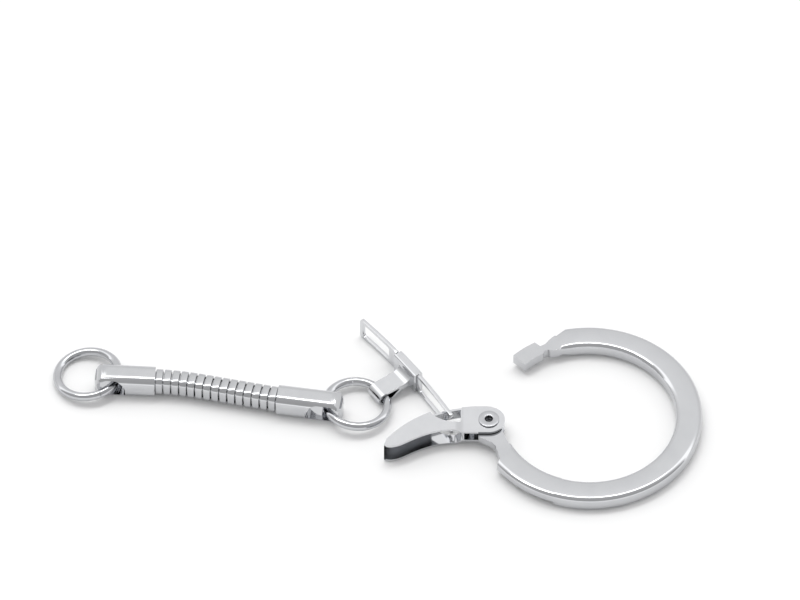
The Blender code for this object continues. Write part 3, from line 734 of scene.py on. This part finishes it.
# %% A pale table
bm = bmesh.new()
bmesh.ops.create_grid(bm, x_segments=1, y_segments=1, size=1.5)
table = shape(bm, "table")
paint = bpy.data.materials.new("matt_white_board")
paint.use_nodes = True
paint.node_tree.nodes["Principled BSDF"].inputs["Base Color"].default_value = linear("#f8f8f8")
paint.node_tree.nodes["Principled BSDF"].inputs["Roughness"].default_value = 0.9
paint.node_tree.nodes["Principled BSDF"].inputs["Specular IOR Level"].default_value = 0.2
table.data.materials.append(paint)
print("table", table.dimensions.x, "m wide")

# %% The tent of light
world = bpy.data.worlds.new("tent")
bpy.context.scene.world = world
world.use_nodes = True
tree = world.node_tree
direction = add_node(tree, "ShaderNodeTexCoord").outputs["Generated"]
split = add_node(tree, "ShaderNodeSeparateXYZ", links={"Vector": direction})
# 0 straight behind at the horizon, 0.5 overhead, 1 in front at the horizon.
turn = add_node(tree, "ShaderNodeMath", {"operation": "ARCTAN2"},
                links={0: split.outputs["Z"], 1: split.outputs["Y"]})
share = add_node(tree, "ShaderNodeMath", {"operation": "DIVIDE"}, {1: math.pi},
                 {0: turn.outputs[0]})
ramp = add_node(tree, "ShaderNodeValToRGB", links={"Fac": share.outputs[0]})
stops = [
    (0.0, 0.6), (0.12, 0.54), (0.25, 0.58), (0.3, 0.66),  # the wall behind, grey
    (0.34, 1.0), (0.41, 1.0), (0.45, 0.6),  # a bright band high behind
    (0.52, 0.38), (0.6, 0.34), (0.88, 0.3),  # overhead and in front, dark
    (0.95, 0.6), (0.97, 0.9), (1.0, 0.9),  # bright again low in front
]
while len(ramp.color_ramp.elements) < len(stops):
    ramp.color_ramp.elements.new(0.5)
for element, (place, value) in zip(ramp.color_ramp.elements, stops):
    element.position, element.color = place, (value, value, value, 1)
tree.links.new(ramp.outputs["Color"], tree.nodes["Background"].inputs["Color"])
tree.nodes["Background"].inputs["Strength"].default_value = 1.7
print("tent with", len(stops), "tones")

# %% A large soft lamp overhead
lamp = bpy.data.lights.new("overhead", "AREA")
lamp.shape, lamp.size, lamp.size_y, lamp.energy = "RECTANGLE", 0.7, 0.14, 1.8
overhead = bpy.data.objects.new("overhead", lamp)
overhead.location = (-0.1, 0.2, 0.78)
overhead.rotation_euler = (-overhead.location).to_track_quat("-Z", "Y").to_euler()
bpy.context.scene.collection.objects.link(overhead)
bpy.context.scene.view_settings.view_transform = "Standard"
print("lamp", lamp.energy, "W")

# %% [markdown]
# ## The camera
#
# Small jewellery is shot from far away with a long lens, which keeps both ends of the
# chain the same size. The camera looks down at about fifty degrees.

# %% A long lens, looking down
eye_data = bpy.data.cameras.new("camera")
ELEVATION, DISTANCE = math.radians(50.3), 2.235
AIM = Vector((-11.1, 20.3, 1.5))  # from the rivet, in millimetres
eye_data.lens, eye_data.sensor_width = 800.0, 36.0
eye_data.clip_start, eye_data.clip_end = 0.5, 20.0
camera = bpy.data.objects.new("camera", eye_data)
target = RIVET_SPOT + AIM * MM
back = Vector((0, -math.cos(ELEVATION), math.sin(ELEVATION)))
camera.location = target + back * DISTANCE
camera.rotation_euler = (-back).to_track_quat("-Z", "Y").to_euler()
bpy.context.scene.collection.objects.link(camera)
bpy.context.scene.camera = camera
print("camera at", [round(c, 3) for c in camera.location])
